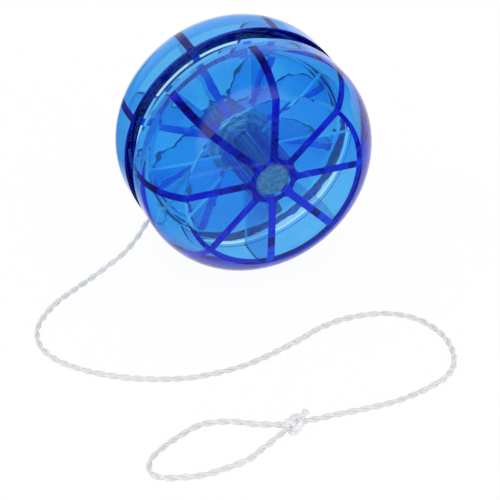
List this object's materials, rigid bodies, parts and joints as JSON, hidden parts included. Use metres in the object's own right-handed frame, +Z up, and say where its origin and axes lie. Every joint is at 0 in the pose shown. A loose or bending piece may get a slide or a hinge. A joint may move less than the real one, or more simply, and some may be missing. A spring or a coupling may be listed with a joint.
{
  "type": "yo-yo",
  "caption": "Clear blue plastic yo-yo: ribbed hollow halves on a wooden axle, with a twisted white string wound on it that ends in a knotted finger loop.",
  "frame": {"origin": "on the floor under the middle of the yo-yo, which stands on its rims", "axes": "+Y along the axle from the front face to the rear face, +Z up"},
  "size_m": [0.087, 0.0942, 0.0569],
  "materials": {
    "clear_blue_plastic": "clear, tinted blue, polished",
    "axle_wood": "plain sawn end grain",
    "white_string": "two-ply twisted cotton"
  },
  "bodies": {
    "string": {"string_axle_loop": "white_string", "string_run": "white_string", "finger_knot": "white_string", "knot_tail": "white_string", "finger_loop": "white_string"},
    "yoyo": {"front_shell": "clear_blue_plastic", "rear_shell": "clear_blue_plastic", "front_inner_disc": "clear_blue_plastic", "rear_inner_disc": "clear_blue_plastic", "axle_dowel": "axle_wood"}
  },
  "joints": [
    {"name": "axle_spin", "type": "hinge", "parent": "string", "child": "yoyo", "pos_m": [0, 0, 0.02844], "axis": [0, 1, 0], "continuous": true}
  ]
}
